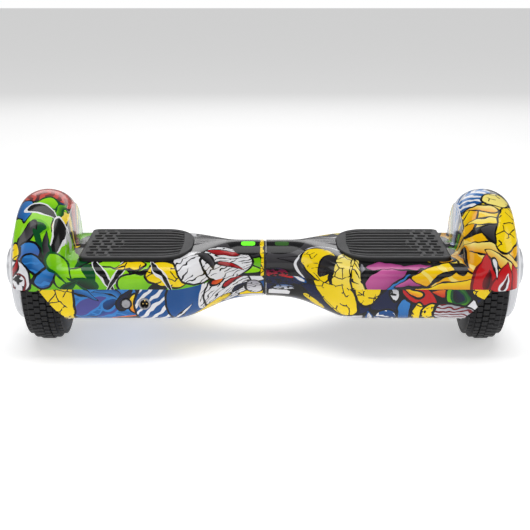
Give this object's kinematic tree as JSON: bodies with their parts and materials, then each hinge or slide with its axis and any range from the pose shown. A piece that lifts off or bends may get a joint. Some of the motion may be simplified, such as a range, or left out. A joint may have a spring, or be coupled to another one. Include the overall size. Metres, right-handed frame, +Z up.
{
  "type": "self balancing hoverboard",
  "caption": "Two-wheeled self balancing board: two printed shell halves on a pivot tube, hub motor wheels under arches, ribbed foot mats.",
  "frame": {"origin": "on the floor under the middle of the board, centred between the wheels and between front and rear", "axes": "+X along the board and its axles, +Z up, -Y on the side with the power button and charging socket, +Y on the side with the headlights"},
  "size_m": [0.584, 0.176, 0.1704],
  "materials": {
    "top_print": "glossy printed film",
    "lower_print": "glossy printed film",
    "mat_rubber": "matte ribbed rubber",
    "tyre_rubber": "matte tread rubber",
    "hub_metal": "satin silver",
    "cast_aluminium": "cast satin",
    "steel": "machined",
    "dark_steel": "black oxide",
    "stator_steel": "laminated",
    "copper": "enamelled wire",
    "bronze": "machined",
    "black_plastic": "moulded",
    "circuit_board": "solder mask",
    "cable_rubber": "smooth",
    "battery_wrap": "shrink wrap",
    "lead_red": "smooth",
    "switch_metal": "satin plated",
    "switch_body": "dark plated",
    "gold_contact": "plated",
    "green_window": "translucent lit",
    "dim_window": "translucent",
    "lamp_lens": "clear moulded"
  },
  "bodies": {
    "left_half": {"left_top_shell": "top_print", "left_bottom_shell": "lower_print", "left_chassis": "cast_aluminium", "pivot_tube": "steel", "tube_lock_bolts": "dark_steel", "thrust_washer": "black_plastic", "retaining_washer": "steel", "circlip": "steel", "left_axle": "steel", "left_stator": "stator_steel", "left_windings": "copper", "left_axle_clamp": "cast_aluminium", "left_clamp_bolts": "dark_steel", "left_motor_cable": "cable_rubber", "main_board": "circuit_board", "left_sensor_board": "circuit_board", "left_light_gates": "black_plastic", "power_switch": "switch_body", "charging_socket": "switch_metal", "charging_insert": "black_plastic", "charging_pins": "gold_contact", "left_indicator_window": "green_window", "left_indicator_board": "circuit_board", "left_headlight": "lamp_lens", "left_shell_screws": "dark_steel", "link_cable": "cable_rubber"},
    "right_half": {"right_top_shell": "top_print", "right_bottom_shell": "lower_print", "right_chassis": "cast_aluminium", "pivot_bushes": "bronze", "stop_screw": "dark_steel", "right_axle": "steel", "right_stator": "stator_steel", "right_windings": "copper", "right_axle_clamp": "cast_aluminium", "right_clamp_bolts": "dark_steel", "right_motor_cable": "cable_rubber", "battery_pack": "battery_wrap", "battery_lead": "lead_red", "right_sensor_board": "circuit_board", "right_light_gates": "black_plastic", "right_indicator_window": "dim_window", "right_indicator_board": "circuit_board", "right_headlight": "lamp_lens", "right_shell_screws": "dark_steel"},
    "left_wheel": {"left_tyre": "tyre_rubber", "left_rim": "hub_metal", "left_magnets": "stator_steel", "left_inner_cover": "cast_aluminium", "left_cover_screws": "dark_steel", "left_bearings": "steel"},
    "right_wheel": {"right_tyre": "tyre_rubber", "right_rim": "hub_metal", "right_magnets": "stator_steel", "right_inner_cover": "cast_aluminium", "right_cover_screws": "dark_steel", "right_bearings": "steel"},
    "left_mat": {"left_foot_mat": "mat_rubber"},
    "right_mat": {"right_foot_mat": "mat_rubber"},
    "power_button": {"power_button": "switch_metal"}
  },
  "joints": [
    {"name": "half_pivot", "type": "hinge", "parent": "left_half", "child": "right_half", "pos_m": [0, 0, 0.0806], "axis": [1, 0, 0], "range_deg": [-12, 12]},
    {"name": "left_wheel_spin", "type": "hinge", "parent": "left_half", "child": "left_wheel", "pos_m": [-0.244, 0, 0.0825], "axis": [1, 0, 0], "continuous": true},
    {"name": "right_wheel_spin", "type": "hinge", "parent": "right_half", "child": "right_wheel", "pos_m": [0.244, 0, 0.0825], "axis": [1, 0, 0], "continuous": true},
    {"name": "left_mat_press", "type": "slide", "parent": "left_half", "child": "left_mat", "axis": [0, 0, -1], "range_m": [0, 0.0012], "stiffness_N_per_m": 20000, "springref_m": -0.0003},
    {"name": "right_mat_press", "type": "slide", "parent": "right_half", "child": "right_mat", "axis": [0, 0, -1], "range_m": [0, 0.0012], "stiffness_N_per_m": 20000, "springref_m": -0.0003},
    {"name": "button_press", "type": "slide", "parent": "left_half", "child": "power_button", "axis": [0, 1, 0], "range_m": [0, 0.0012], "stiffness_N_per_m": 800, "springref_m": -0.0005}
  ]
}
